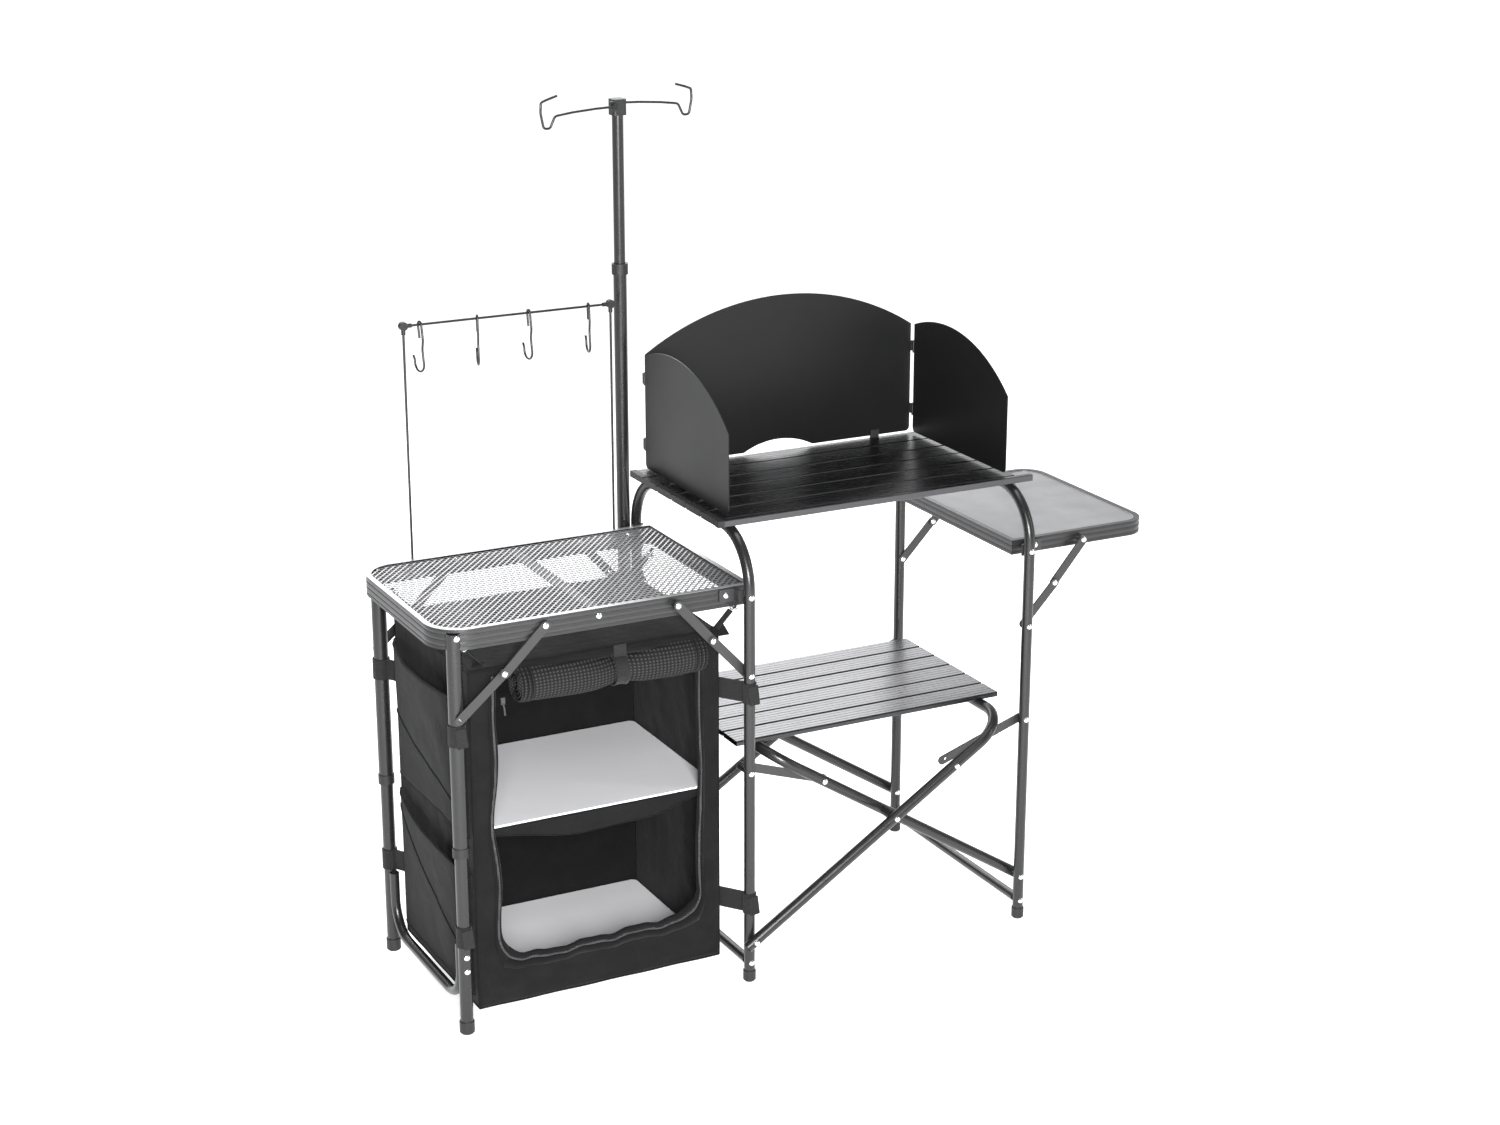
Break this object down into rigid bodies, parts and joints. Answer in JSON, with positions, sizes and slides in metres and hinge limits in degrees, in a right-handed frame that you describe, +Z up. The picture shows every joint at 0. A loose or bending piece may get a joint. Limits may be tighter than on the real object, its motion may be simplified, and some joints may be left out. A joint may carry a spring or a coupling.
{
  "type": "camp kitchen table",
  "caption": "Folding camp kitchen table with slatted top and shelf, windscreen, wire-mesh side table over a fabric cupboard, side tray, hook rack and lantern pole.",
  "frame": {"origin": "middle of the footprint on the floor", "axes": "+X along the length towards the tray, -Y towards the user, +Z up"},
  "size_m": [1.293, 0.4876, 1.4079],
  "materials": {
    "frame_steel": "semi-gloss charcoal powder coat",
    "bar_steel": "satin charcoal powder coat",
    "black_plastic": "matte moulded",
    "slat_aluminium": "dark anodised, fine fluting",
    "rim_aluminium": "dark anodised extrusion",
    "mesh_steel": "grey coated expanded mesh",
    "tray_laminate": "matte grey laminate",
    "rivet_steel": "zinc plated",
    "screen_sheet": "satin black coated sheet",
    "wire_steel": "black coated wire",
    "black_cloth": "woven polyester",
    "white_board": "white laminated board"
  },
  "bodies": {
    "base": {"left_end_frame": "frame_steel", "left_stretchers": "frame_steel", "left_feet": "black_plastic", "left_rivets": "rivet_steel", "left_spacers": "black_plastic", "top_slats": "slat_aluminium", "top_front_rail": "slat_aluminium", "top_end_caps": "black_plastic", "windscreen_back": "screen_sheet", "windscreen_hinges": "bar_steel", "grill_rim": "rim_aluminium", "grill_mesh": "mesh_steel", "grill_cross_straps": "bar_steel", "grill_brackets": "bar_steel", "grill_braces_lower": "bar_steel", "grill_braces_upper": "bar_steel", "outer_legs_upper": "frame_steel", "outer_legs_lower": "frame_steel", "tube_collars": "black_plastic", "pole_lower": "frame_steel", "pole_and_rack_clamps": "black_plastic", "cupboard_shell": "black_cloth", "cupboard_boards": "white_board", "board_sling": "black_cloth", "door_roll": "black_cloth", "cupboard_leg_straps": "black_cloth", "corner_straps": "black_cloth"},
    "cross_a": {"cross_frame_a": "frame_steel", "cross_rivets": "rivet_steel", "cross_spacers": "black_plastic"},
    "cross_b": {"cross_frame_b": "frame_steel", "link_rivets": "rivet_steel"},
    "right_frame": {"right_end_frame": "frame_steel", "right_stretcher": "frame_steel", "right_feet": "black_plastic", "right_rivets": "rivet_steel"},
    "shelf": {"shelf_slats": "slat_aluminium", "shelf_clips": "black_plastic"},
    "left_link": {"left_link_bars": "bar_steel"},
    "right_link": {"right_link_bars": "bar_steel"},
    "tray": {"tray_rim": "rim_aluminium", "tray_panel": "tray_laminate", "tray_brackets": "bar_steel", "tray_rivets": "rivet_steel"},
    "tray_brace_lower": {"tray_braces_lower": "bar_steel"},
    "tray_brace_upper": {"tray_braces_upper": "bar_steel", "tray_brace_rivets": "rivet_steel"},
    "windscreen_left": {"windscreen_left": "screen_sheet"},
    "windscreen_right": {"windscreen_right": "screen_sheet"},
    "pole_upper": {"pole_mast": "frame_steel", "pole_head": "black_plastic"},
    "lantern_arm_left": {"lantern_arm_left": "wire_steel"},
    "lantern_arm_right": {"lantern_arm_right": "wire_steel"},
    "rack": {"rack_rods": "wire_steel", "rack_hubs": "black_plastic"},
    "hook_1": {"hook_1": "wire_steel"},
    "hook_2": {"hook_2": "wire_steel"},
    "hook_3": {"hook_3": "wire_steel"},
    "hook_4": {"hook_4": "wire_steel"}
  },
  "joints": [
    {"name": "frame_fold", "type": "hinge", "parent": "base", "child": "cross_a", "pos_m": [-0.1355, 0, 0.078], "axis": [0, -1, 0], "range_deg": [0, 35]},
    {"name": "cross_fold", "type": "hinge", "parent": "cross_a", "child": "cross_b", "pos_m": [0.1255, 0, 0.24512], "axis": [0, -1, 0], "range_deg": [-70, 0]},
    {"name": "right_frame_fold", "type": "hinge", "parent": "cross_b", "child": "right_frame", "pos_m": [0.3865, 0, 0.078], "axis": [0, -1, 0], "range_deg": [0, 35]},
    {"name": "shelf_level", "type": "hinge", "parent": "cross_b", "child": "shelf", "pos_m": [-0.0875, 0, 0.3815], "axis": [0, -1, 0], "range_deg": [0, 35]},
    {"name": "left_link_swing", "type": "hinge", "parent": "base", "child": "left_link", "pos_m": [-0.1355, 0, 0.36749], "axis": [0, -1, 0], "range_deg": [0, 79.97]},
    {"name": "right_link_swing", "type": "hinge", "parent": "right_frame", "child": "right_link", "pos_m": [0.3865, 0, 0.36749], "axis": [0, -1, 0], "range_deg": [-79.97, 0]},
    {"name": "tray_fold", "type": "hinge", "parent": "right_frame", "child": "tray", "pos_m": [0.3865, 0, 0.665], "axis": [0, -1, 0], "range_deg": [-90, 0]},
    {"name": "tray_brace_swing", "type": "hinge", "parent": "right_frame", "child": "tray_brace_lower", "pos_m": [0.3865, 0, 0.534], "axis": [0, -1, 0], "range_deg": [-41.66, 0]},
    {"name": "tray_brace_knee", "type": "hinge", "parent": "tray_brace_lower", "child": "tray_brace_upper", "pos_m": [0.4465, 0, 0.597], "axis": [0, -1, 0], "range_deg": [0, 167.61]},
    {"name": "windscreen_left_hinge", "type": "hinge", "parent": "base", "child": "windscreen_left", "pos_m": [-0.1399, 0.156, 0.784], "axis": [0, 0, 1], "range_deg": [0, 90]},
    {"name": "windscreen_right_hinge", "type": "hinge", "parent": "base", "child": "windscreen_right", "pos_m": [0.3749, 0.1526, 0.784], "axis": [0, 0, -1], "range_deg": [0, 90]},
    {"name": "pole_slide", "type": "slide", "parent": "base", "child": "pole_upper", "axis": [0, 0, 1], "range_m": [-0.24, 0]},
    {"name": "lantern_arm_left_fold", "type": "hinge", "parent": "pole_upper", "child": "lantern_arm_left", "pos_m": [-0.17, 0.1916, 1.382], "axis": [0, -1, 0], "range_deg": [0, 85]},
    {"name": "lantern_arm_right_fold", "type": "hinge", "parent": "pole_upper", "child": "lantern_arm_right", "pos_m": [-0.144, 0.2296, 1.382], "axis": [0, 1, 0], "range_deg": [0, 85]},
    {"name": "rack_lift", "type": "slide", "parent": "base", "child": "rack", "axis": [0, 0, 1], "range_m": [0, 0.025]},
    {"name": "hook_1_swing", "type": "hinge", "parent": "rack", "child": "hook_1", "pos_m": [-0.51978, 0.1836, 1.062], "axis": [1, 0, 0], "range_deg": [-35, 35]},
    {"name": "hook_2_swing", "type": "hinge", "parent": "rack", "child": "hook_2", "pos_m": [-0.42186, 0.1836, 1.062], "axis": [1, 0, 0], "range_deg": [-35, 35]},
    {"name": "hook_3_swing", "type": "hinge", "parent": "rack", "child": "hook_3", "pos_m": [-0.33258, 0.1836, 1.062], "axis": [1, 0, 0], "range_deg": [-35, 35]},
    {"name": "hook_4_swing", "type": "hinge", "parent": "rack", "child": "hook_4", "pos_m": [-0.2271, 0.1836, 1.062], "axis": [1, 0, 0], "range_deg": [-35, 35]}
  ],
  "couplings": [
    {"joint": "cross_fold", "follows": "frame_fold", "ratio": -2},
    {"joint": "right_frame_fold", "follows": "frame_fold", "ratio": 1},
    {"joint": "shelf_level", "follows": "frame_fold", "ratio": 1},
    {"joint": "left_link_swing", "follows": "frame_fold", "ratio": 2.2849},
    {"joint": "right_link_swing", "follows": "frame_fold", "ratio": -2.2849},
    {"joint": "tray_brace_swing", "follows": "tray_fold", "ratio": 0.46283},
    {"joint": "tray_brace_knee", "follows": "tray_fold", "ratio": -1.8623}
  ]
}
